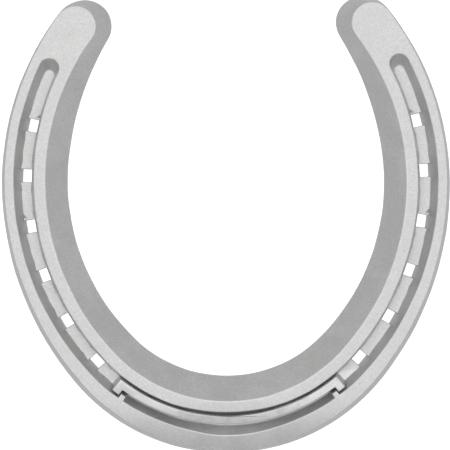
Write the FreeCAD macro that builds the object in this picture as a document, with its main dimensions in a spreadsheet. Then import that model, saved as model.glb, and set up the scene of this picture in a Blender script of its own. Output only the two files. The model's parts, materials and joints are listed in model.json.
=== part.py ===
import FreeCAD, Part
import math
import os

import Sketcher

# A fullered front horseshoe: a forged aluminium shoe with six nail holes in each branch, and a
# T-headed steel wear insert held in the crease at the toe.
#
# Frame: millimetres, +Z up. The hoof face lies on Z = 0 and the ground face looks up. The toe
# points to -Y, the heels to +Y, and the shoe is the same on both sides of the YZ plane. Each
# body is modelled as its +X half and mirrored. "Turn" is always an angle measured along an
# outline that starts square to the YZ plane at the toe.

SHEET_ROWS = [
    # alias, value in mm or degrees, what it is
    ("thickness", 8.0, "hoof face to ground face"),
    ("land_height", 2.4, "upright inner edge below the inner slope"),
    ("hoof_outer_reach", 67.37, "toe of the hoof-side outline, in front of the origin"),
    ("hoof_outer_toe_radius", 58.8, "outer hoof-side outline, toe"),
    ("hoof_outer_toe_turn", 50.9, "outer hoof-side outline, toe"),
    ("hoof_outer_quarter_radius", 92.7, "outer hoof-side outline, quarter"),
    ("hoof_outer_quarter_turn", 36.4, "outer hoof-side outline, quarter"),
    ("hoof_outer_branch_radius", 83.0, "outer hoof-side outline, branch"),
    ("hoof_outer_branch_turn", 41.0, "outer hoof-side outline, branch"),
    ("hoof_inner_reach", 44.47, "inner hoof-side outline at the toe, in front of the origin"),
    ("hoof_inner_toe_radius", 39.1, "inner hoof-side outline, toe"),
    ("hoof_inner_toe_turn", 44.5, "inner hoof-side outline, toe"),
    ("hoof_inner_quarter_radius", 64.9, "inner hoof-side outline, quarter"),
    ("hoof_inner_quarter_turn", 52.4, "inner hoof-side outline, quarter"),
    ("hoof_inner_branch_radius", 86.8, "inner hoof-side outline, branch"),
    ("hoof_inner_branch_turn", 24.4, "inner hoof-side outline, branch"),
    ("hoof_heel_radius", 7.8, "inner corner of the heel, hoof side"),
    ("hoof_heel_turn", 120.0, "inner corner of the heel, hoof side"),
    ("ground_outer_reach", 66.17, "toe of the ground-side outline, in front of the origin"),
    ("ground_outer_toe_radius", 57.5, "outer ground-side outline, toe"),
    ("ground_outer_toe_turn", 49.6, "outer ground-side outline, toe"),
    ("ground_outer_quarter_radius", 91.6, "outer ground-side outline, quarter"),
    ("ground_outer_quarter_turn", 34.6, "outer ground-side outline, quarter"),
    ("ground_outer_branch_radius", 84.1, "outer ground-side outline, branch"),
    ("ground_outer_branch_turn", 42.9, "outer ground-side outline, branch"),
    ("ground_inner_reach", 52.07, "top edge of the inner slope at the toe"),
    ("ground_inner_toe_radius", 45.7, "top edge of the inner slope, toe"),
    ("ground_inner_toe_turn", 46.6, "top edge of the inner slope, toe"),
    ("ground_inner_quarter_radius", 74.1, "top edge of the inner slope, quarter"),
    ("ground_inner_quarter_turn", 38.3, "top edge of the inner slope, quarter"),
    ("ground_inner_branch_radius", 70.9, "top edge of the inner slope, branch"),
    ("ground_inner_branch_turn", 42.3, "top edge of the inner slope, branch"),
    ("ground_heel_radius", 6.1, "inner corner of the heel, ground side"),
    ("ground_heel_turn", 120.0, "inner corner of the heel, ground side"),
    ("rim_width", 3.5, "flat inner rim between the inner slope and the crease"),
    ("crease_mouth", 5.8, "width of the crease at the ground face"),
    ("crease_depth", 4.5, "depth of the crease"),
    ("crease_inner_lean", 0.5, "how far the inner wall of the crease leans out at its foot"),
    ("crease_floor", 3.15, "width of the crease floor"),
    ("toe_outer_bulge", 2.3, "how far the outer edge of the crease swings out at the middle of the toe"),
    ("toe_crown_radius", 23.0, "outer edge of the crease, middle of the toe"),
    ("toe_crown_turn", 13.7, "outer edge of the crease, middle of the toe"),
    ("toe_side_radius", 80.7, "outer edge of the crease, from there to the stake"),
    ("toe_side_turn", 20.2, "outer edge of the crease, from there to the stake"),
    ("toe_inner_bulge", 0.4, "how far the inner edge of the crease swings in at the middle of the toe"),
    ("inner_bulge_turn", 20.0, "where the inner edge of the crease begins to swing in"),
    ("crease_heel_turn", 31.5, "centre of the round heel end of the crease mouth, on the branch"),
    ("crease_ramp_turn", 1.3, "how much sooner the crease floor ends"),
    ("head_end_turn", 39.6, "end face of the insert head, at the ground face"),
    ("head_foot_turn", 40.8, "end face of the insert head, at the crease floor"),
    ("head_shoulder_turn", 36.5, "shoulder of the insert head, against the stake"),
    ("stake_end_turn", 34.6, "toe side of the stake that locks the insert"),
    ("stake_slope", 1.0, "how far the tip of the stake slopes back at the ground face"),
    ("insert_clearance", 0.05, "gap between the insert and the stakes"),
    ("insert_gap", 0.3, "gap between the insert and the inner wall of the crease"),
    ("shoulder_clearance", 0.35, "turn left between the insert shoulder and the stake"),
    ("strip_width", 2.4, "width of the insert along the toe"),
    ("head_top_width", 4.25, "width of the insert head at the ground face"),
    ("head_foot_width", 2.8, "width of the insert head at the crease floor"),
    ("insert_recess", 0.1, "how far the insert lies below the ground face"),
    ("roll_start", 50.6, "where the rolled toe leaves the ground face, in front of the origin"),
    ("roll_radius", 42.0, "radius of the rolled toe"),
    ("hole_first", 44.0, "first nail hole, along the crease from the toe"),
    ("hole_pitch", 15.0, "distance between nail holes along the crease"),
    ("hole_count", 6, "nail holes in each branch"),
    ("hole_top_length", 4.7, "nail hole along the crease, at the ground face"),
    ("hole_bottom_length", 3.7, "nail hole along the crease, at the hoof face"),
    ("hole_line", 1.8, "line of the nail holes from the crease edge"),
    ("hole_top_inner", 0.85, "inner wall of a nail hole from the crease edge, at the ground face"),
    ("hole_top_outer", 5.5, "outer wall of a nail hole from the crease edge, at the ground face"),
    ("hole_bottom_inner", 0.1, "inner wall of a nail hole from the crease edge, at the hoof face"),
    ("hole_bottom_outer", 3.0, "outer wall of a nail hole from the crease edge, at the hoof face"),
]

START, END, CENTRE = 1, 2, 3   # names for the points of a sketched line or arc
ORIGIN, Y_AXIS = -1, -2        # names for a sketch's own origin and upright axis
UP = FreeCAD.Vector(0, 0, 1)
PARTS_FOLDER = "parts"


class Size:
    """A value of the sheet, or a sum of such values, with the expression that gives it."""

    def __init__(self, text, value):
        self.text = text
        self.value = value

    def __add__(self, other):
        return Size(f"({self.text} + {other.text})", self.value + other.value)

    def __sub__(self, other):
        return Size(f"({self.text} - {other.text})", self.value - other.value)

    def __mul__(self, other):
        return Size(f"({self.text} * {other.text})", self.value * other.value)

    def __neg__(self):
        return Size(f"(0 - {self.text})", -self.value)


def sine(turn):
    """Sine of a turn in degrees."""
    return Size(f"sin({turn.text})", math.sin(math.radians(turn.value)))


ZERO = Size("0", 0.0)
ONE = Size("1", 1.0)
SIZES = {alias: Size(f"sizes.{alias}", value) for alias, value, note in SHEET_ROWS}


def fill_sheet():
    """Write each row as a plain number with its alias and its note."""
    for row, (alias, value, note) in enumerate(SHEET_ROWS, start=1):
        sheet.set(f"A{row}", alias)
        sheet.set(f"B{row}", str(value))
        sheet.set(f"C{row}", note)
        sheet.setAlias(f"B{row}", alias)
    doc.recompute()


def origin_plane(body, role):
    """One of the body's own origin planes."""
    return [plane for plane in body.Origin.OriginFeatures if plane.Role == role][0]


class Outline:
    """Arcs and lines laid end to end in a sketch, with their sizes bound to the sheet."""

    def __init__(self, body, name, role="XY_Plane", height=ZERO):
        self.sketch = body.newObject("Sketcher::SketchObject", name)
        self.sketch.AttachmentSupport = [(origin_plane(body, role), "")]
        self.sketch.MapMode = "FlatFace"
        self.sketch.setExpression("AttachmentOffset.Base.z", height.text)

    def constrain(self, kind, *where, size=None):
        """Add a constraint. One with a size is bound to the sheet."""
        if size is None:
            self.sketch.addConstraint(Sketcher.Constraint(kind, *where))
            return
        value = math.radians(size.value) if kind == "Angle" else size.value
        index = self.sketch.addConstraint(Sketcher.Constraint(kind, *where, value))
        self.sketch.setExpression(f"Constraints[{index}]", size.text)

    def line(self, start, end):
        """Line between two ends that are already placed, each given as (edge, point)."""
        segment = Part.LineSegment(self.sketch.getPoint(*start), self.sketch.getPoint(*end))
        edge = self.sketch.addGeometry(segment)
        self.constrain("Coincident", edge, START, *start)
        self.constrain("Coincident", edge, END, *end)

    def arc(self, centre, radius, begin, finish):
        """Arc from one angle to another, anticlockwise, all in plain numbers."""
        circle = Part.Circle(centre, UP, radius)
        return self.sketch.addGeometry(Part.ArcOfCircle(circle, begin, finish))

    def turning_arc(self, start, heading, radius, turn, left=True):
        """Arc that leaves a point along a heading and turns left or right. Returns the edge, its
        first and last points, the place of its end and the heading there."""
        side = 1 if left else -1
        centre = start + FreeCAD.Vector(-math.sin(heading), math.cos(heading), 0) * (side * radius.value)
        begin = math.atan2(start.y - centre.y, start.x - centre.x)
        swing = side * math.radians(turn.value)
        edge = self.arc(centre, radius.value, min(begin, begin + swing), max(begin, begin + swing))
        self.constrain("Radius", edge, size=radius)
        first, last = (START, END) if left else (END, START)
        return edge, first, last, self.sketch.getPoint(edge, last), heading + swing

    def chain(self, reach, arcs):
        """Tangent arcs that leave the YZ plane square to it, each given as (radius, turn, left).
        Returns the first and last ends as (edge, point), and the place and heading of the last."""
        place = FreeCAD.Vector(0, -reach.value, 0)
        heading = 0.0
        ends = []
        for radius, turn, left in arcs:
            edge, first, last, place, heading = self.turning_arc(place, heading, radius, turn, left)
            self.constrain("Angle", edge, size=turn)
            if ends:
                self.constrain("Tangent", *ends[-1], edge, first)
            else:
                self.constrain("PointOnObject", edge, CENTRE, Y_AXIS)
                self.constrain("PointOnObject", edge, first, Y_AXIS)
                self.constrain("DistanceY", ORIGIN, START, edge, first, size=-reach)
                ends.append((edge, first))
            ends.append((edge, last))
        return ends[0], ends[-1], place, heading

    def toe_arc(self, offset, from_turn, to_turn):
        """Arc that runs around the toe, a given distance outside the top edge of the inner slope."""
        centre_height = SIZES["ground_inner_toe_radius"] - SIZES["ground_inner_reach"]
        radius = SIZES["ground_inner_toe_radius"] + offset
        begin, finish = [math.radians(turn.value - 90) for turn in (from_turn, to_turn)]
        edge = self.arc(FreeCAD.Vector(0, centre_height.value, 0), radius.value, begin, finish)
        self.constrain("PointOnObject", edge, CENTRE, Y_AXIS)
        self.constrain("DistanceY", ORIGIN, START, edge, CENTRE, size=centre_height)
        self.constrain("Radius", edge, size=radius)
        for point, turn in ((START, from_turn), (END, to_turn)):
            if turn is ZERO:
                self.constrain("PointOnObject", edge, point, Y_AXIS)
            else:
                self.constrain("DistanceX", ORIGIN, START, edge, point, size=radius * sine(turn))
        return edge

    def bulged_toe_arc(self, offset, bulge, end):
        """Arc from the YZ plane to an end that is already placed, given as (edge, point). At the
        YZ plane it stands outside its offset from the inner slope by the bulge."""
        reach = SIZES["ground_inner_reach"] + offset + bulge
        place = self.sketch.getPoint(*end)
        rise = place.y + reach.value
        radius = (place.x ** 2 + rise ** 2) / (2 * rise)
        centre = FreeCAD.Vector(0, radius - reach.value, 0)
        edge = self.arc(centre, radius, -math.pi / 2, math.atan2(place.y - centre.y, place.x))
        self.constrain("PointOnObject", edge, CENTRE, Y_AXIS)
        self.constrain("PointOnObject", edge, START, Y_AXIS)
        self.constrain("DistanceY", ORIGIN, START, edge, START, size=-reach)
        self.constrain("Coincident", edge, END, *end)
        return edge

    def done(self):
        """Solve the sketch, and stop if its constraints clash or leave it loose."""
        solved = self.sketch.solve()
        doc.recompute()
        if solved != 0 or not self.sketch.FullyConstrained:
            raise RuntimeError(f"{self.sketch.Name}: solve {solved}, fixed {self.sketch.FullyConstrained}")
        return self.sketch


def side_arcs(side):
    """The toe, quarter and branch arcs of one side of an outline."""
    return [(SIZES[f"{side}_{zone}_radius"], SIZES[f"{side}_{zone}_turn"], True)
            for zone in ("toe", "quarter", "branch")]


def half_outline(body, name, level, height):
    """Outline of the +X half of the shoe at the hoof or the ground side, heel included."""
    outline = Outline(body, name, height=height)
    outer_start, outer_end, outer_place, _ = outline.chain(
        SIZES[f"{level}_outer_reach"], side_arcs(f"{level}_outer"))
    heel_corner = (SIZES[f"{level}_heel_radius"], SIZES[f"{level}_heel_turn"], False)
    inner_start, inner_end, inner_place, heading = outline.chain(
        SIZES[f"{level}_inner_reach"], side_arcs(f"{level}_inner") + [heel_corner])
    outline.line(inner_start, outer_start)
    # The last arc leaves the heel corner smoothly and meets the outer side at an edge.
    chord = outer_place - inner_place
    bend = math.remainder(math.atan2(chord.y, chord.x) - heading, 2 * math.pi)
    radius = chord.Length / (2 * math.sin(-bend))
    centre = inner_place + FreeCAD.Vector(math.sin(heading), -math.cos(heading), 0) * radius
    begin = math.atan2(outer_place.y - centre.y, outer_place.x - centre.x)
    closing = outline.arc(centre, radius, begin, begin - 2 * bend)
    outline.constrain("Tangent", *inner_end, closing, END)
    outline.constrain("Coincident", closing, START, *outer_end)
    return outline.done()


def branch_crease_outline(body, name, height, offsets, heel_turn):
    """Band along one branch, from the stake to a round end near the heel."""
    outline = Outline(body, name, height=height)
    starts, ends, places = [], [], []
    for offset in offsets:
        toe = outline.toe_arc(offset, SIZES["head_shoulder_turn"], SIZES["ground_inner_toe_turn"])
        end = (toe, END)
        place = outline.sketch.getPoint(*end)
        heading = math.radians(SIZES["ground_inner_toe_turn"].value)
        for zone, turn in (("quarter", SIZES["ground_inner_quarter_turn"]), ("branch", heel_turn)):
            radius = SIZES[f"ground_inner_{zone}_radius"] + offset
            edge, first, last, place, heading = outline.turning_arc(place, heading, radius, turn)
            outline.constrain("Tangent", *end, edge, first)
            if zone == "quarter" or offset is offsets[0]:
                outline.constrain("Angle", edge, size=turn)
            end = (edge, last)
        starts.append((toe, START))
        ends.append(end)
        places.append(place)
    outline.line(*starts)
    across = places[1] - places[0]
    begin = math.atan2(across.y, across.x)
    cap = outline.arc(places[0] + across * 0.5, across.Length / 2, begin, begin + math.pi)
    outline.constrain("Tangent", *ends[0], cap, END)
    outline.constrain("Tangent", *ends[1], cap, START)
    return outline.done()


def toe_crease_outline(body, name, height, inner, inner_bulge, outer_reach, outer_arcs):
    """The +X half of the crease at the toe. The inner side follows the inner slope and swings in
    at the YZ plane. The outer side is a chain of two arcs."""
    outline = Outline(body, name, height=height)
    side = outline.toe_arc(inner, SIZES["inner_bulge_turn"], SIZES["stake_end_turn"])
    middle = outline.bulged_toe_arc(inner, inner_bulge, (side, START))
    first, last, _, _ = outline.chain(outer_reach, outer_arcs)
    outline.line((middle, START), first)
    outline.line((side, END), last)
    return outline.done()


def gate_outline(body, name, height, offsets):
    """Band beside the stake, where the insert passes it."""
    outline = Outline(body, name, height=height)
    sides = [outline.toe_arc(offset, SIZES["stake_end_turn"], SIZES["head_shoulder_turn"])
             for offset in offsets]
    outline.line(*[(side, START) for side in sides])
    outline.line(*[(side, END) for side in sides])
    return outline.done()


def insert_outline(body, name, height, head_width, end_turn):
    """The +X half of the insert: a strip around the toe that ends in a wider head."""
    outline = Outline(body, name, height=height)
    inner = SIZES["rim_width"] + SIZES["crease_inner_lean"] + SIZES["insert_gap"]
    shoulder = SIZES["head_shoulder_turn"] + SIZES["shoulder_clearance"]
    inner_side = outline.toe_arc(inner, ZERO, end_turn)
    strip_side = outline.toe_arc(inner + SIZES["strip_width"], ZERO, shoulder)
    head_side = outline.toe_arc(inner + head_width, shoulder, end_turn)
    outline.line((inner_side, START), (strip_side, START))
    outline.line((strip_side, END), (head_side, START))
    outline.line((head_side, END), (inner_side, END))
    return outline.done()


def roll_outline(body, name, level):
    """Side view of what the rolled toe takes away: everything above an arc that falls from the
    ground face towards the toe."""
    outline = Outline(body, name, role="YZ_Plane")
    radius, start = SIZES["roll_radius"], -SIZES["roll_start"]
    front = -SIZES["hoof_outer_reach"] - ONE
    top = level + ONE
    centre = FreeCAD.Vector(start.value, level.value - radius.value, 0)
    fall = math.asin((start.value - front.value) / radius.value)
    arc = outline.arc(centre, radius.value, math.pi / 2, math.pi / 2 + fall)
    outline.constrain("Radius", arc, size=radius)
    outline.constrain("DistanceX", ORIGIN, START, arc, CENTRE, size=start)
    outline.constrain("DistanceY", ORIGIN, START, arc, CENTRE, size=level - radius)
    outline.constrain("DistanceX", ORIGIN, START, arc, START, size=start)
    outline.constrain("DistanceX", ORIGIN, START, arc, END, size=front)
    corners = [outline.sketch.getPoint(arc, START), FreeCAD.Vector(start.value, top.value, 0),
               FreeCAD.Vector(front.value, top.value, 0), outline.sketch.getPoint(arc, END)]
    lines = [outline.sketch.addGeometry(Part.LineSegment(*ends)) for ends in zip(corners, corners[1:])]
    outline.constrain("Coincident", arc, START, lines[0], START)
    outline.constrain("Coincident", lines[0], END, lines[1], START)
    outline.constrain("Coincident", lines[1], END, lines[2], START)
    outline.constrain("Coincident", lines[2], END, arc, END)
    outline.constrain("Vertical", lines[0])
    outline.constrain("Horizontal", lines[1])
    outline.constrain("Vertical", lines[2])
    outline.constrain("DistanceY", ORIGIN, START, lines[1], START, size=top)
    return outline.done()


def loft(body, kind, name, lower, upper):
    """Ruled solid between two sketches, added to the body or cut from it."""
    feature = body.newObject(f"PartDesign::{kind}Loft", name)
    feature.Profile = lower
    feature.Sections = [upper]
    feature.Ruled = True
    doc.recompute()


def cut_roll(body, level):
    """Cut the rolled toe, right across the body."""
    pocket = body.newObject("PartDesign::Pocket", f"{body.Name}_roll")
    pocket.Profile = roll_outline(body, f"{body.Name}_roll_side", level)
    pocket.SideType = "Symmetric"
    pocket.setExpression("Length", (SIZES["hoof_outer_reach"] + SIZES["hoof_outer_reach"]).text)
    doc.recompute()


def mirror_half(body):
    """Mirror all that the body holds so far, across the YZ plane."""
    mirrored = body.newObject("PartDesign::Mirrored", f"{body.Name}_both_halves")
    mirrored.TransformMode = "Whole shape"
    mirrored.MirrorPlane = (origin_plane(body, "YZ_Plane"), [""])
    body.Tip = mirrored
    doc.recompute()


def hole_line_point(distance):
    """Place and heading at a distance along the line of the nail holes, from the toe."""
    place, heading = None, 0.0
    for zone in ("toe", "quarter", "branch"):
        radius = SIZES[f"ground_inner_{zone}_radius"] + SIZES["rim_width"] + SIZES["hole_line"]
        inward = FreeCAD.Vector(-math.sin(heading), math.cos(heading), 0)
        if place is None:
            start_y = -SIZES["ground_inner_reach"].value - SIZES["rim_width"].value - SIZES["hole_line"].value
            place = FreeCAD.Vector(0, start_y, 0)
        centre = place + inward * radius.value
        turn = math.radians(SIZES[f"ground_inner_{zone}_turn"].value)
        part_of_turn = min(turn, distance / radius.value)
        heading += part_of_turn
        place = centre + FreeCAD.Vector(math.sin(heading), -math.cos(heading), 0) * radius.value
        distance -= part_of_turn * radius.value
    return place, heading


def cut_nail_hole(body, number):
    """Cut one nail hole: a block that tapers and leans inward from the crease to the hoof face."""
    place, heading = hole_line_point(
        SIZES["hole_first"].value + number * SIZES["hole_pitch"].value)
    along = FreeCAD.Vector(math.cos(heading), math.sin(heading), 0)
    outward = FreeCAD.Vector(math.sin(heading), -math.cos(heading), 0)
    hole = body.newObject("PartDesign::SubtractiveWedge", f"nail_hole_{number + 1}")
    # The wedge's own axes: X along the crease, Y up, Z outward.
    rotation = FreeCAD.Rotation(along, UP, outward, "ZXY")
    hole.Placement = FreeCAD.Placement(place - outward * SIZES["hole_line"].value, rotation)
    for end, low, high, inner, outer in (
            ("bottom", "Xmin", "Xmax", "Zmin", "Zmax"), ("top", "X2min", "X2max", "Z2min", "Z2max")):
        length = SIZES[f"hole_{end}_length"]
        hole.setExpression(low, f"0 - {length.text} / 2")
        hole.setExpression(high, f"{length.text} / 2")
        hole.setExpression(inner, SIZES[f"hole_{end}_inner"].text)
        hole.setExpression(outer, SIZES[f"hole_{end}_outer"].text)
    hole.setExpression("Ymin", "0")
    hole.setExpression("Ymax", SIZES["thickness"].text)
    doc.recompute()


def build_shoe_body():
    """The aluminium shoe: web with inner slope, crease, stakes, nail holes and rolled toe."""
    body = doc.addObject("PartDesign::Body", "shoe_body")
    top, land = SIZES["thickness"], SIZES["land_height"]
    floor = top - SIZES["crease_depth"]
    base = body.newObject("PartDesign::Pad", "web")
    base.Profile = half_outline(body, "hoof_face", "hoof", ZERO)
    base.setExpression("Length", land.text)
    doc.recompute()
    loft(body, "Additive", "slope_and_walls",
         half_outline(body, "land_top", "hoof", land), half_outline(body, "ground_face", "ground", top))

    rim = SIZES["rim_width"]
    foot = rim + SIZES["crease_inner_lean"]
    mouth_band = (rim, rim + SIZES["crease_mouth"])
    floor_band = (foot, foot + SIZES["crease_floor"])
    floor_reach = SIZES["ground_inner_reach"] + floor_band[1]
    floor_radius = SIZES["ground_inner_toe_radius"] + floor_band[1]
    mouth_reach = SIZES["ground_inner_reach"] + mouth_band[1] + SIZES["toe_outer_bulge"]
    crown_turn = SIZES["toe_crown_turn"]
    gate_edge = foot + SIZES["insert_gap"] + SIZES["strip_width"] + SIZES["insert_clearance"]
    heel_turn = SIZES["crease_heel_turn"]
    loft(body, "Subtractive", "branch_crease",
         branch_crease_outline(body, "branch_crease_floor", floor, floor_band,
                               heel_turn - SIZES["crease_ramp_turn"]),
         branch_crease_outline(body, "branch_crease_mouth", top, mouth_band, heel_turn))
    loft(body, "Subtractive", "toe_crease",
         toe_crease_outline(body, "toe_crease_floor", floor, foot, ZERO, floor_reach,
                            [(floor_radius, crown_turn, True),
                             (floor_radius, SIZES["stake_end_turn"] - crown_turn, True)]),
         toe_crease_outline(body, "toe_crease_mouth", top, rim, -SIZES["toe_inner_bulge"], mouth_reach,
                            [(SIZES["toe_crown_radius"], crown_turn, True),
                             (SIZES["toe_side_radius"], SIZES["toe_side_turn"], True)]))
    loft(body, "Subtractive", "stake_gate",
         gate_outline(body, "stake_gate_floor", floor, (foot, gate_edge)),
         gate_outline(body, "stake_gate_mouth", top, (rim, gate_edge + SIZES["stake_slope"])))
    for number in range(int(SIZES["hole_count"].value)):
        cut_nail_hole(body, number)
    cut_roll(body, top)
    mirror_half(body)
    return body


def build_toe_insert():
    """The steel wear insert: a strip around the toe with a head at each end."""
    body = doc.addObject("PartDesign::Body", "toe_insert")
    top = SIZES["thickness"] - SIZES["insert_recess"]
    floor = SIZES["thickness"] - SIZES["crease_depth"]
    loft(body, "Additive", "strip_and_head",
         insert_outline(body, "insert_foot", floor, SIZES["head_foot_width"], SIZES["head_foot_turn"]),
         insert_outline(body, "insert_top", top, SIZES["head_top_width"], SIZES["head_end_turn"]))
    cut_roll(body, top)
    mirror_half(body)
    return body


def check_document(bodies):
    """Stop if a feature failed, a body isn't one sound solid, or a feature changed nothing."""
    for item in doc.Objects:
        if "Invalid" in item.State or "Error" in item.State:
            raise RuntimeError(f"{item.Name}: {item.State}")
    for body in bodies:
        if body.Shape.isNull() or not body.Shape.isValid() or len(body.Shape.Solids) != 1:
            raise RuntimeError(f"{body.Name}: shape isn't one valid solid")
        volume = 0.0
        for feature in body.Group:
            if not feature.isDerivedFrom("PartDesign::Feature"):
                continue
            grows = "Subtractive" not in feature.TypeId and "Pocket" not in feature.TypeId
            change = feature.Shape.Volume - volume
            if change <= 0 and grows or change >= 0 and not grows:
                raise RuntimeError(f"{feature.Name}: changes the volume by {change:.3f}")
            volume = feature.Shape.Volume
            print(f"{feature.Name}: {change:+.1f} mm3")


def report(bodies):
    """Print each body's size, and what the two bodies share."""
    for body in bodies:
        box = body.Shape.BoundBox
        print(f"{body.Label}: {body.Shape.Volume:.1f} mm3, X {box.XMin:.3f} {box.XMax:.3f},"
              f" Y {box.YMin:.3f} {box.YMax:.3f}, Z {box.ZMin:.3f} {box.ZMax:.3f}")
    overlap = bodies[0].Shape.common(bodies[1].Shape)
    print(f"overlap {overlap.Volume:.4f} mm3")


doc = FreeCAD.newDocument("horseshoe")
sheet = doc.addObject("Spreadsheet::Sheet", "sizes")
fill_sheet()
pieces = [build_shoe_body(), build_toe_insert()]
for piece in pieces:
    piece.Label = piece.Name
    piece.Placement = FreeCAD.Placement()
doc.recompute()
check_document(pieces)
report(pieces)
os.makedirs(PARTS_FOLDER, exist_ok=True)
for piece in pieces:
    piece.Shape.exportStep(f"{PARTS_FOLDER}/{piece.Label}.step")
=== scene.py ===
"""A forged aluminium horseshoe with a steel wear insert at the toe, in a plain light studio.

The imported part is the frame. It has two nodes, the shoe and the insert. Each is copied, its
edges are given the wander of a forging and are broken as shot blasting leaves them, and the
copy stands for the node. Lengths are metres, +Z is up, the toe points to -Y, and the crease
side of the shoe looks up.
"""

from __future__ import annotations

import json
import logging
import math
from dataclasses import dataclass, field
from enum import Enum
from typing import Any

import bmesh
import bpy
from mathutils import Euler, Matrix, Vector, noise

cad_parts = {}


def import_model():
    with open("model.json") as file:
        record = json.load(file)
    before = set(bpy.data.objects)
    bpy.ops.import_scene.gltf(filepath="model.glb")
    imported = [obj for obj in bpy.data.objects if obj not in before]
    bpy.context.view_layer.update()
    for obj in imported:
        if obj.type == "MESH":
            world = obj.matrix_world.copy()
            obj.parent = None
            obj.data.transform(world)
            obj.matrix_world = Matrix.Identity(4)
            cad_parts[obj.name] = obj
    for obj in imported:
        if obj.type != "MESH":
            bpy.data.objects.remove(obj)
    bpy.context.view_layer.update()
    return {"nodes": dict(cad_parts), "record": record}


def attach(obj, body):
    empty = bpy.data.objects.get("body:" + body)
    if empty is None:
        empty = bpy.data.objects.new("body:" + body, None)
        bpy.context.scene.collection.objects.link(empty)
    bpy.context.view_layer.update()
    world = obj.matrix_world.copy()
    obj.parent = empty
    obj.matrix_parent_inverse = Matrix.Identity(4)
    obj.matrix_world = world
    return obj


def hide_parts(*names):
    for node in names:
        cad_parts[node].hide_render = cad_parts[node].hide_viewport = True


LOG = logging.getLogger("horseshoe")
MM = 0.001

Colour = tuple[float, float, float]


# ---------------------------------------------------------------- shader building


class Field:
    """A number that varies over a surface, with arithmetic that adds Math nodes."""

    def __init__(self, shader: Network, socket: bpy.types.NodeSocket) -> None:
        """Wrap an output socket.

        Args:
            shader: The network that the socket's node belongs to.
            socket: The output socket that gives the number.
        """
        self.shader = shader
        self.socket = socket

    def _math(self, operation: str, *values: Any, clamp: bool = False) -> Field:
        """Add one Math node.

        Args:
            operation: The Math node's operation.
            *values: Its inputs in order, each a Field or a number.
            clamp: Whether the result is kept between 0 and 1.

        Returns:
            The node's result.
        """
        settings = {"operation": operation, "use_clamp": clamp}
        node = self.shader.node("ShaderNodeMath", settings, dict(enumerate(values)))
        return Field(self.shader, node.outputs[0])

    def __add__(self, other: Any) -> Field:
        """Sum."""
        return self._math("ADD", self, other)

    def __radd__(self, other: Any) -> Field:
        """Sum, with the number on the left."""
        return self._math("ADD", other, self)

    def __sub__(self, other: Any) -> Field:
        """Difference."""
        return self._math("SUBTRACT", self, other)

    def __rsub__(self, other: Any) -> Field:
        """Difference, with the number on the left."""
        return self._math("SUBTRACT", other, self)

    def __mul__(self, other: Any) -> Field:
        """Product."""
        return self._math("MULTIPLY", self, other)

    def __rmul__(self, other: Any) -> Field:
        """Product, with the number on the left."""
        return self._math("MULTIPLY", other, self)

    def clamped(self) -> Field:
        """The same number kept between 0 and 1."""
        return self._math("ADD", self, 0.0, clamp=True)

    def smooth_step(self, low: float, high: float) -> Field:
        """Rise smoothly from 0 to 1.

        Args:
            low: The value where the rise starts.
            high: The value where it ends.

        Returns:
            0 below low, 1 above high.
        """
        node = self.shader.node("ShaderNodeMapRange", {"interpolation_type": "SMOOTHSTEP"},
                                {"Value": self, "From Min": low, "From Max": high})
        return Field(self.shader, node.outputs["Result"])


class Network:
    """A network of shader nodes."""

    def __init__(self, owner: bpy.types.Material | bpy.types.World) -> None:
        """Start with no nodes.

        Args:
            owner: The material or world that the nodes belong to.
        """
        owner.use_nodes = True
        self.tree = owner.node_tree
        self.tree.nodes.clear()

    def node(self, kind: str, settings: dict[str, Any] | None = None,
             inputs: dict[Any, Any] | None = None) -> bpy.types.Node:
        """Add any node.

        Args:
            kind: The node's type.
            settings: Its properties, which are set before its sockets. "stops" is a colour
                ramp's list of (position, colour).
            inputs: Socket name, identifier or index to a Field, a socket or a plain value.

        Returns:
            The new node.
        """
        node = self.tree.nodes.new(kind)
        for key, value in (settings or {}).items():
            if key == "stops":
                self._set_stops(node.color_ramp, value)
            else:
                setattr(node, key, value)
        for key, value in (inputs or {}).items():
            self.feed(node, key, value)
        return node

    @staticmethod
    def _set_stops(ramp: bpy.types.ColorRamp, stops: list[tuple[float, Colour]]) -> None:
        """Set a ramp's stops.

        Args:
            ramp: The ramp of a new node, which has two stops.
            stops: Position and colour of each stop, in order.
        """
        while len(ramp.elements) < len(stops):
            ramp.elements.new(1.0)
        for element, (position, colour) in zip(ramp.elements, stops):
            element.position = position
            element.color = (*colour, 1.0)

    def feed(self, node: bpy.types.Node, key: Any, value: Any) -> None:
        """Set or link one input socket.

        Args:
            node: The node that has the socket.
            key: The socket's index, identifier or name.
            value: A Field or a socket to link, or a plain value.
        """
        if isinstance(key, int):
            socket = node.inputs[key]
        else:
            socket = next(s for s in node.inputs if s.enabled and key in (s.identifier, s.name))
        if isinstance(value, Field):
            self.tree.links.new(value.socket, socket)
        elif isinstance(value, bpy.types.NodeSocket):
            self.tree.links.new(value, socket)
        elif socket.type == "RGBA":
            socket.default_value = (*value, 1.0)
        else:
            socket.default_value = value

    def axis(self, vector: bpy.types.NodeSocket, name: str) -> Field:
        """One part of a vector.

        Args:
            vector: The vector's socket.
            name: X, Y or Z.

        Returns:
            That part of it.
        """
        node = self.node("ShaderNodeSeparateXYZ", {}, {"Vector": vector})
        return Field(self, node.outputs[name])


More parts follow.
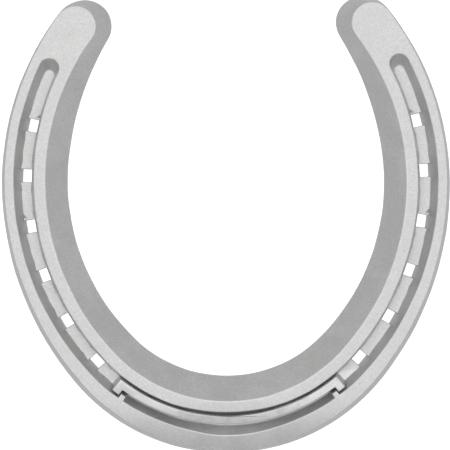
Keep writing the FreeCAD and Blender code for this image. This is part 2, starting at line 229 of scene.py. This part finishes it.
class Shader(Network):
    """A material being built around one Principled BSDF."""

    def __init__(self, name: str) -> None:
        """Start an empty material.

        Args:
            name: The material's name.
        """
        self.material = bpy.data.materials.new(name)
        super().__init__(self.material)
        self.surface = self.node("ShaderNodeBsdfPrincipled")
        self.node("ShaderNodeOutputMaterial", {}, {"Surface": self.surface.outputs["BSDF"]})
        self.place = self.node("ShaderNodeTexCoord").outputs["Object"]

    def noise(self, size: float, detail: float, distortion: float = 0.0) -> Field:
        """Cloudy noise around 0.5.

        Args:
            size: Width of its largest patches.
            detail: Number of finer layers.
            distortion: How much the patches are warped.

        Returns:
            The noise.
        """
        node = self.node("ShaderNodeTexNoise", {}, {
            "Vector": self.place, "Scale": 1.0 / size, "Detail": detail, "Distortion": distortion})
        return Field(self, node.outputs["Fac"])

    def cells(self, size: float) -> Field:
        """Distance inside a field of random cells.

        Args:
            size: Width of a cell.

        Returns:
            The distance, as a share of a cell's width.
        """
        node = self.node("ShaderNodeTexVoronoi", {}, {"Vector": self.place, "Scale": 1.0 / size})
        return Field(self, node.outputs["Distance"])

    def attribute(self, name: str) -> Field:
        """A number stored on the mesh, by its name."""
        node = self.node("ShaderNodeAttribute", {"attribute_name": name})
        return Field(self, node.outputs["Fac"])

    def mix(self, factor: Field, first: Any, second: Any) -> bpy.types.NodeSocket:
        """Mix two colours.

        Args:
            factor: How much of the second shows.
            first: A colour or a colour socket.
            second: A colour or a colour socket.

        Returns:
            The mixed colour.
        """
        node = self.node("ShaderNodeMix", {"data_type": "RGBA"},
                         {"Factor_Float": factor, "A_Color": first, "B_Color": second})
        return next(s for s in node.outputs if s.identifier == "Result_Color")

    def relief(self, height: Field, depth: float) -> None:
        """Feed a bump to the surface's normal.

        Args:
            height: The relief, from 0 to 1.
            depth: The length that 1 stands for.
        """
        bump = self.node("ShaderNodeBump", {}, {"Height": height, "Distance": depth})
        self.feed(self.surface, "Normal", bump.outputs["Normal"])


# ---------------------------------------------------------------- finishes


class EdgeKind(Enum):
    """What a face of a finished piece is, as stored in its "edge_kind" attribute."""

    FACE = 0.0
    BROKEN_EDGE = 1.0


EDGE_ATTRIBUTE = "edge_kind"


@dataclass(frozen=True)
class BlastedAluminium:
    """Shot-blasted aluminium: a matt, pale metal with fine dimples, and rubbed edges painted
    lighter, partly for wear and partly as a painted highlight.
    """

    face_colour: Colour = (0.88, 0.88, 0.875)
    cloud_colour: Colour = (0.82, 0.82, 0.815)
    pit_colour: Colour = (0.56, 0.56, 0.56)
    # Colour of the broken edges: partly rubbed wear, partly a painted highlight along the edges.
    wear_and_highlight_colour: Colour = (0.90, 0.90, 0.90)
    cloud_size: float = 9 * MM
    dimple_size: float = 0.55 * MM
    grit_size: float = 0.22 * MM
    pit_cell: float = 2.6 * MM
    dimple_depth: float = 0.050 * MM
    roughness: float = 0.54
    roughness_swing: float = 0.10
    dimple_share: float = 0.6
    grit_share: float = 0.4
    speckle_strength: float = 0.30
    pit_strength: float = 0.45

    def material(self) -> bpy.types.Material:
        """Build the material."""
        shader = Shader("blasted_aluminium")
        clouds = shader.noise(self.cloud_size, 4.0, 0.4)
        dimples = shader.noise(self.dimple_size, 2.0)
        grit = shader.noise(self.grit_size, 1.0)
        pits = 1.0 - shader.cells(self.pit_cell).smooth_step(0.03, 0.09)
        wear_and_highlight = shader.attribute(EDGE_ATTRIBUTE)

        grain = dimples * self.dimple_share + grit * self.grit_share
        speckle = grain.smooth_step(0.40, 0.62)
        colour = shader.mix(clouds.smooth_step(0.38, 0.66), self.cloud_colour, self.face_colour)
        colour = shader.mix((1.0 - speckle) * self.speckle_strength, colour, self.pit_colour)
        colour = shader.mix(pits * self.pit_strength, colour, self.pit_colour)
        # The broken edges are painted lighter: partly rubbed wear, partly a painted highlight
        # where the edges catch the light.
        colour = shader.mix(wear_and_highlight * (0.35 + 0.4 * speckle), colour, self.wear_and_highlight_colour)
        swing = self.roughness_swing * (clouds - 0.5)
        roughness = self.roughness + swing - wear_and_highlight * 0.06 + pits * 0.05

        shader.feed(shader.surface, "Base Color", colour)
        shader.feed(shader.surface, "Metallic", 1.0)
        shader.feed(shader.surface, "Roughness", roughness.clamped())
        shader.relief(grain - pits * 0.8, self.dimple_depth)
        return shader.material


@dataclass(frozen=True)
class BlastedSteel:
    """Blasted steel: a little darker and greyer than the aluminium, with drawn streaks."""

    face_colour: Colour = (0.77, 0.77, 0.77)
    stain_colour: Colour = (0.64, 0.64, 0.635)
    # Colour of the broken edges: partly rubbed wear, partly a painted highlight along the edges.
    wear_and_highlight_colour: Colour = (0.86, 0.86, 0.86)
    stain_size: float = 3.2 * MM
    dimple_size: float = 0.45 * MM
    dimple_depth: float = 0.022 * MM
    roughness: float = 0.46
    roughness_swing: float = 0.12
    hollow_strength: float = 0.25

    def material(self) -> bpy.types.Material:
        """Build the material."""
        shader = Shader("blasted_steel")
        stains = shader.noise(self.stain_size, 3.0, 0.6)
        dimples = shader.noise(self.dimple_size, 2.0)
        wear_and_highlight = shader.attribute(EDGE_ATTRIBUTE)

        colour = shader.mix(stains.smooth_step(0.42, 0.70), self.face_colour, self.stain_colour)
        hollows = 1.0 - dimples.smooth_step(0.40, 0.60)
        colour = shader.mix(hollows * self.hollow_strength, colour, self.stain_colour)
        # The broken edges are painted lighter: partly rubbed wear, partly a painted highlight
        # where the edges catch the light.
        colour = shader.mix(wear_and_highlight * 0.6, colour, self.wear_and_highlight_colour)
        shader.feed(shader.surface, "Base Color", colour)
        shader.feed(shader.surface, "Metallic", 1.0)
        roughness = self.roughness + self.roughness_swing * (stains - 0.5)
        shader.feed(shader.surface, "Roughness", roughness.clamped())
        shader.relief(dimples, self.dimple_depth)
        return shader.material


@dataclass(frozen=True)
class StudioPaper:
    """The pale sheet that the shoe lies on, lit through from below so that it stays white."""

    colour: Colour = (0.90, 0.90, 0.90)
    glow: float = 0.90

    def material(self) -> bpy.types.Material:
        """Build the material."""
        shader = Shader("studio_paper")
        shader.feed(shader.surface, "Base Color", self.colour)
        shader.feed(shader.surface, "Roughness", 0.9)
        shader.feed(shader.surface, "Specular IOR Level", 0.0)
        shader.feed(shader.surface, "Emission Color", (1.0, 1.0, 1.0))
        shader.feed(shader.surface, "Emission Strength", self.glow)
        return shader.material


# ---------------------------------------------------------------- the shoe and its insert


@dataclass
class ForgedPiece:
    """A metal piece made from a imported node, with a forging's edges."""

    node: str
    name: str
    slot: str
    finish: BlastedAluminium | BlastedSteel
    edge_break: float = 0.28 * MM
    edge_segments: int = 3
    sharp_angle: float = math.radians(22)
    flat_angle: float = math.radians(1)
    join_distance: float = 0.002 * MM
    longest_step: float = 2.0 * MM
    cut_rounds: tuple[int, ...] = (3, 1)
    cut_slack: float = 0.75
    level_slack: float = 0.05 * MM
    level_step: float = 0.5 * MM
    level_facing: float = 0.999
    wander: float = 0.10 * MM
    wander_length: float = 7.0 * MM
    wander_shift: Vector = field(default_factory=lambda: Vector((31.0, 17.0, 5.0)))
    crisp_angle: float = math.radians(40)
    body: str = "root"
    piece: bpy.types.Object | None = field(default=None, init=False)

    def build(self, nodes: dict[str, bpy.types.Object]) -> None:
        """Make the piece's mesh and let it stand for its node.

        Args:
            nodes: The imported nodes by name.
        """
        mesh = bpy.data.meshes.new(self.name)
        form = self._merged_copy(nodes[self.node])
        self._let_edges_wander(form)
        self._break_edges(form)
        self._refill_flats(form)
        self._mark_crisp_edges(form)
        LOG.info("%s: %d open edges", self.name, sum(not edge.is_manifold for edge in form.edges))
        form.to_mesh(mesh)
        form.free()
        self.piece = bpy.data.objects.new(self.name, mesh)
        bpy.context.scene.collection.objects.link(self.piece)
        weighted = self.piece.modifiers.new("face_normals", "WEIGHTED_NORMAL")
        weighted.mode = "FACE_AREA"
        weighted.weight = 100
        weighted.keep_sharp = True
        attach(self.piece, self.body)
        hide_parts(self.node)
        LOG.info("%s: %d faces", self.name, len(mesh.polygons))

    def dress(self) -> None:
        """Give the piece its finish."""
        self.piece.data.materials.append(self.finish.material())

    def _merged_copy(self, source: bpy.types.Object) -> bmesh.types.BMesh:
        """Copy a node's mesh, join its loose triangles and clear the seams inside its faces."""
        form = bmesh.new()
        form.from_mesh(source.data)
        bmesh.ops.remove_doubles(form, verts=form.verts[:], dist=self.join_distance)
        bmesh.ops.dissolve_limit(form, angle_limit=self.flat_angle, verts=form.verts[:],
                                 edges=form.edges[:], use_dissolve_boundaries=False)
        form.faces.layers.float.new(EDGE_ATTRIBUTE)
        return form

    def _sharp_edges(self, form: bmesh.types.BMesh) -> list[bmesh.types.BMEdge]:
        """The edges where two faces meet at a real angle."""
        return [edge for edge in form.edges
                if edge.is_manifold and edge.calc_face_angle(0.0) > self.sharp_angle]

    def _let_edges_wander(self, form: bmesh.types.BMesh) -> None:
        """Cut long edges up and shift their points a little, level with the ground.

        Args:
            form: The piece's mesh.
        """
        for cuts in self.cut_rounds:
            longest = self.longest_step * (cuts + 1) * self.cut_slack
            long_edges = [edge for edge in self._sharp_edges(form) if edge.calc_length() > longest]
            bmesh.ops.bisect_edges(form, edges=long_edges, cuts=cuts)
        for vert in form.verts:
            spot = vert.co / self.wander_length
            vert.co.x += self.wander * noise.noise(spot)
            vert.co.y += self.wander * noise.noise(spot + self.wander_shift)

    def _takes_a_break(self, edge: bmesh.types.BMEdge) -> bool:
        """Whether a sharp edge is rounded."""
        return True

    def _break_edges(self, form: bmesh.types.BMesh) -> None:
        """Round the sharp edges and mark the new faces as broken edges.

        Args:
            form: The piece's mesh.
        """
        edges = [edge for edge in self._sharp_edges(form) if self._takes_a_break(edge)]
        made = bmesh.ops.bevel(form, geom=edges, offset=self.edge_break,
                               offset_type="OFFSET", segments=self.edge_segments, profile=0.5,
                               affect="EDGES", clamp_overlap=False, loop_slide=False, material=-1)
        kind = form.faces.layers.float[EDGE_ATTRIBUTE]
        for face in made["faces"]:
            face[kind] = EdgeKind.BROKEN_EDGE.value

    def _refill_flats(self, form: bmesh.types.BMesh) -> None:
        """Fill each level flat anew between its outline and its holes, and close what is left.

        Args:
            form: The piece's mesh.
        """
        form.normal_update()
        levels: dict[tuple[int, int], list[bmesh.types.BMFace]] = {}
        for face in form.faces:
            heights = [vert.co.z for vert in face.verts]
            level = max(heights) - min(heights) < self.level_slack
            if level and abs(face.normal.z) > self.level_facing:
                key = (round(heights[0] / self.level_step), round(face.normal.z))
                levels.setdefault(key, []).append(face)
        for (_, facing), flats in levels.items():
            inside = set(flats)
            rim = [edge for edge in form.edges
                   if sum(face in inside for face in edge.link_faces) == 1]
            bmesh.ops.delete(form, geom=flats, context="FACES_KEEP_BOUNDARY")
            bmesh.ops.triangle_fill(form, use_beauty=True, use_dissolve=False, edges=rim,
                                    normal=Vector((0.0, 0.0, facing)))
        left_open = [edge for edge in form.edges if edge.is_boundary]
        patches = bmesh.ops.holes_fill(form, edges=left_open, sides=0)["faces"]
        bmesh.ops.triangulate(form, faces=patches)
        bmesh.ops.recalc_face_normals(form, faces=form.faces[:])

    def _mark_crisp_edges(self, form: bmesh.types.BMesh) -> None:
        """Shade the faces smoothly, with a crease along every crisp edge.

        Args:
            form: The piece's mesh.
        """
        form.normal_update()
        for face in form.faces:
            face.smooth = True
        for edge in form.edges:
            edge.smooth = edge.calc_face_angle(math.pi) < self.crisp_angle


@dataclass
class Shoe(ForgedPiece):
    """The shoe. Its nail holes are punched, so their edges stay crisp."""

    holes: list[tuple[Vector, Vector]] = field(default_factory=list)
    hole_reach: float = 3.4 * MM
    hole_top: float = 7.7 * MM

    def _takes_a_break(self, edge: bmesh.types.BMEdge) -> bool:
        """Whether an edge is rounded: all but those round a nail hole.

        Args:
            edge: A sharp edge.

        Returns:
            False if an end is near the line of a hole, below the mouth of the crease.
        """
        ends = [vert.co for vert in edge.verts]
        if max(end.z for end in ends) > self.hole_top:
            return True
        gaps = [end - foot - line * (end.z / line.z) for foot, line in self.holes for end in ends]
        return all(gap.length > self.hole_reach for gap in gaps)


def nail_holes(record: dict[str, Any]) -> list[tuple[Vector, Vector]]:
    """Find the nail holes among the part's mounts.

    Args:
        record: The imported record.

    Returns:
        Each hole's middle on the hoof face and its direction.
    """
    return [(Vector(mount["pos_m"]), Vector(mount["axis"]))
            for mount in record["mounts"] if mount["name"].startswith("nail_hole")]


# ---------------------------------------------------------------- studio


@dataclass
class Studio:
    """Floor, light and camera. None of them is part of the shoe."""

    floor_side: float = 6.0
    floor_drop: float = 0.2 * MM
    camera_centre: Vector = field(default_factory=lambda: Vector((-0.44 * MM, 0.13 * MM, 8 * MM)))
    camera_distance: float = 3.0
    camera_view_width: float = 133.0 * MM
    camera_roll: float = math.radians(-0.8)
    sensor_width: float = 36.0
    clip_range: tuple[float, float] = (0.1, 20.0)
    softbox_place: Vector = field(default_factory=lambda: Vector((0.0, 0.12, 1.1)))
    softbox_side: float = 0.9
    softbox_power: float = 2.6
    sky_stops: tuple[tuple[float, float], ...] = (
        (0.0, 0.62), (0.35, 0.55), (0.50, 0.45), (0.80, 0.44), (1.0, 0.48))

    def build(self) -> None:
        """Set up the floor, the lights and the camera."""
        self._lay_floor()
        self._light()
        self._aim_camera()

    def _lay_floor(self) -> None:
        """Lay the floor a hair under the hoof face, so that the two don't share a plane."""
        form = bmesh.new()
        bmesh.ops.create_grid(form, x_segments=4, y_segments=4, size=self.floor_side / 2)
        mesh = bpy.data.meshes.new("floor")
        form.to_mesh(mesh)
        form.free()
        floor = bpy.data.objects.new("floor", mesh)
        floor.location.z = -self.floor_drop
        floor.data.materials.append(StudioPaper().material())
        bpy.context.scene.collection.objects.link(floor)
        floor.visible_diffuse = False
        floor.visible_glossy = False

    def _light(self) -> None:
        """A soft sky that is darkest from the horizon to halfway up, a little brighter overhead
        and brightest below, and one broad lamp over the heels.
        """
        world = bpy.data.worlds.new("studio_sky")
        bpy.context.scene.world = world
        sky = Network(world)
        direction = sky.node("ShaderNodeTexCoord").outputs["Generated"]
        height = sky.axis(direction, "Z") * 0.5 + 0.5
        stops = [(place, (light, light, light)) for place, light in self.sky_stops]
        ramp = sky.node("ShaderNodeValToRGB", {"stops": stops}, {"Fac": height})
        background = sky.node("ShaderNodeBackground", {}, {"Color": ramp.outputs["Color"]})
        sky.node("ShaderNodeOutputWorld", {}, {"Surface": background.outputs["Background"]})

        self._lamp("softbox", self.softbox_place, self.softbox_side, self.softbox_power)

    @staticmethod
    def _lamp(name: str, place: Vector, side: float, power: float) -> None:
        """Hang a square lamp that faces the shoe.

        Args:
            name: The lamp's name.
            place: Where it hangs.
            side: Its width and length.
            power: Its power in watts.
        """
        data = bpy.data.lights.new(name, "AREA")
        data.shape = "SQUARE"
        data.size = side
        data.energy = power
        lamp = bpy.data.objects.new(name, data)
        lamp.location = place
        lamp.rotation_euler = (-place).to_track_quat("-Z", "Y").to_euler()
        lamp.visible_camera = False
        bpy.context.scene.collection.objects.link(lamp)

    def _aim_camera(self) -> None:
        """Look straight down on the ground face."""
        data = bpy.data.cameras.new("camera")
        data.sensor_width = self.sensor_width
        data.lens = self.sensor_width * self.camera_distance / self.camera_view_width
        data.clip_start, data.clip_end = self.clip_range
        camera = bpy.data.objects.new("camera", data)
        camera.location = self.camera_centre + Vector((0.0, 0.0, self.camera_distance))
        camera.rotation_euler = Euler((0.0, 0.0, self.camera_roll))
        bpy.context.scene.collection.objects.link(camera)
        bpy.context.scene.camera = camera
        bpy.context.scene.view_settings.view_transform = "Standard"


def main() -> None:
    """Load the frame, build and dress the two pieces, and set up the studio."""
    logging.basicConfig(level=logging.INFO, format="%(name)s: %(message)s")
    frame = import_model()
    pieces = [
        Shoe("shoe_body", "shoe", "forged_aluminium", BlastedAluminium(),
             holes=nail_holes(frame["record"])),
        ForgedPiece("toe_insert", "wear_insert", "insert_steel", BlastedSteel(),
                    edge_break=0.3 * MM, wander=0.0),
    ]
    for piece in pieces:
        piece.build(frame["nodes"])
        piece.dress()
    Studio().build()


if __name__ == "__main__":
    main()
